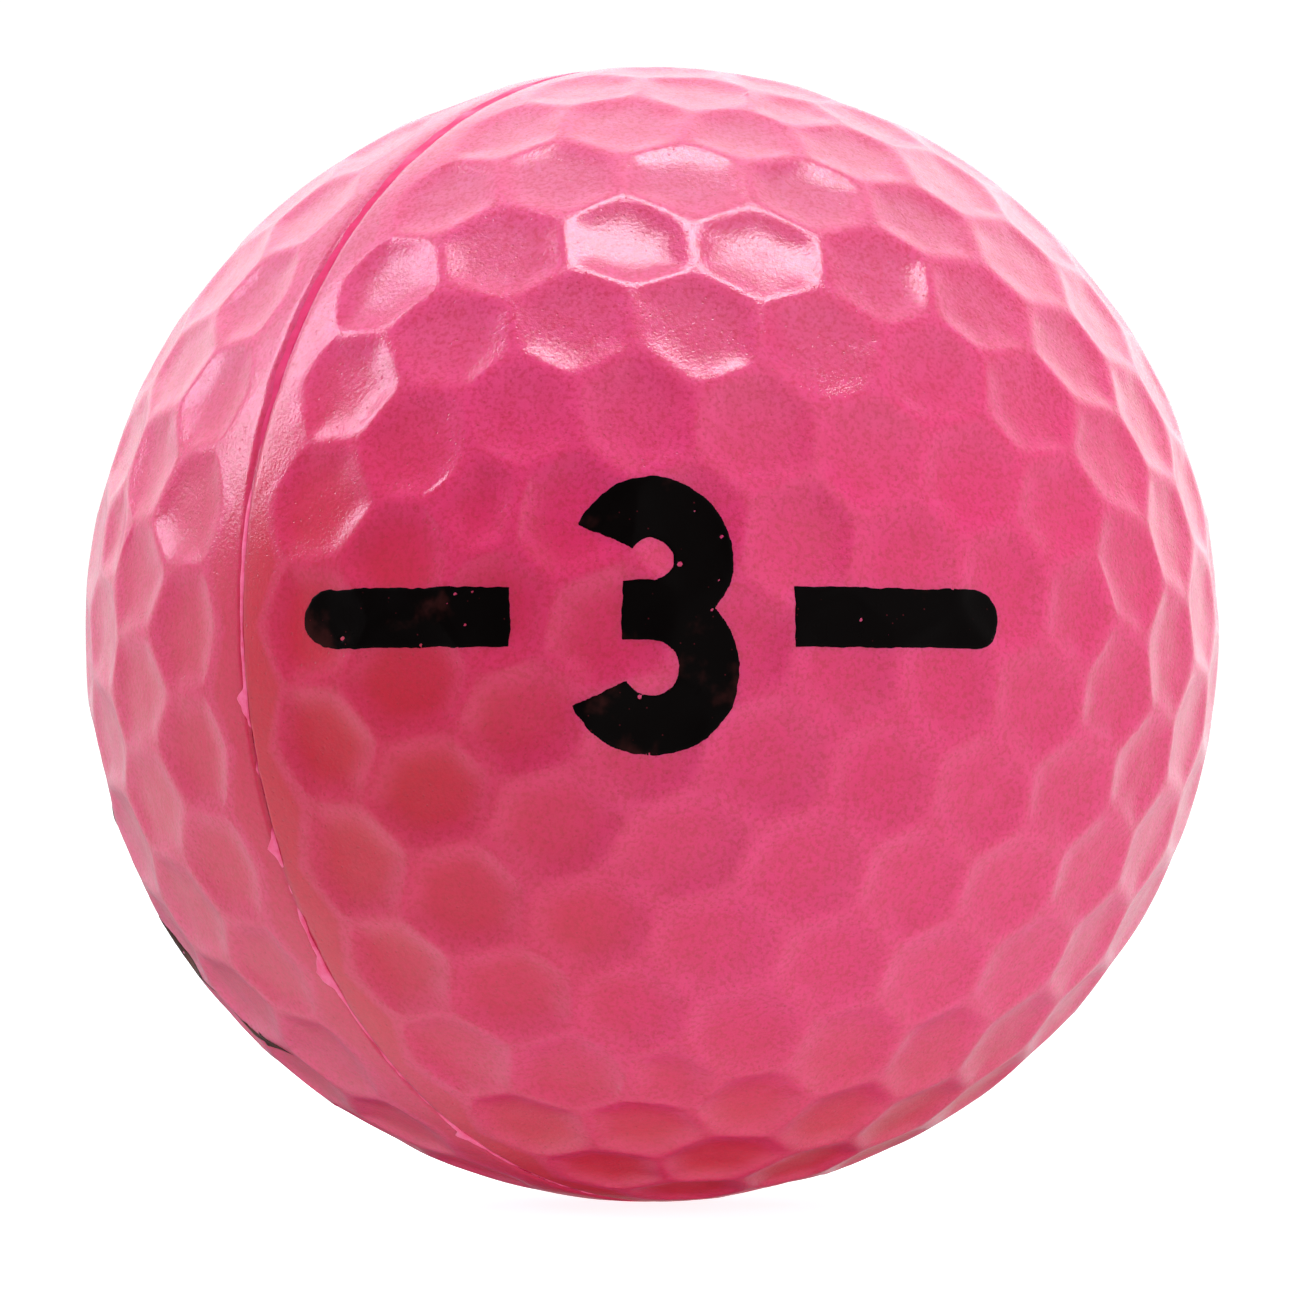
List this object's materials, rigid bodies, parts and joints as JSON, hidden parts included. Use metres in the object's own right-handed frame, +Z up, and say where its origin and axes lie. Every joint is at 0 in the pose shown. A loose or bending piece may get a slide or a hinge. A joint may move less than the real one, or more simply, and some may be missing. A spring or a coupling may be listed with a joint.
{
  "type": "practice golf ball",
  "caption": "Soft practice golf ball: foam core in a cover of two moulded halves with hexagonal dimples, a rough parting line, and plain printed marks.",
  "frame": {"origin": "centre of the ball", "axes": "+Z up as the front print reads, -Y out through the front print, -Z down into a tee; the cover's halves meet on a plane whose normal lies 44 degrees from +X towards -Y"},
  "size_m": [0.0426, 0.0428, 0.0428],
  "materials": {
    "cover_skin": "satin pink polyurethane skin, slightly translucent",
    "flash_skin": "thin torn pink skin, satin",
    "core_foam": "matte closed-cell foam",
    "print_ink": "glossy black pad-printing ink"
  },
  "bodies": {
    "root": {"foam_core": "core_foam", "cover_front": "cover_skin", "cover_rear": "cover_skin", "parting_flash": "flash_skin", "front_print_number": "print_ink", "front_print_bar_left": "print_ink", "front_print_bar_right": "print_ink", "side_print_number": "print_ink", "side_print_arrow_left": "print_ink", "side_print_arrow_right": "print_ink"}
  },
  "joints": []
}
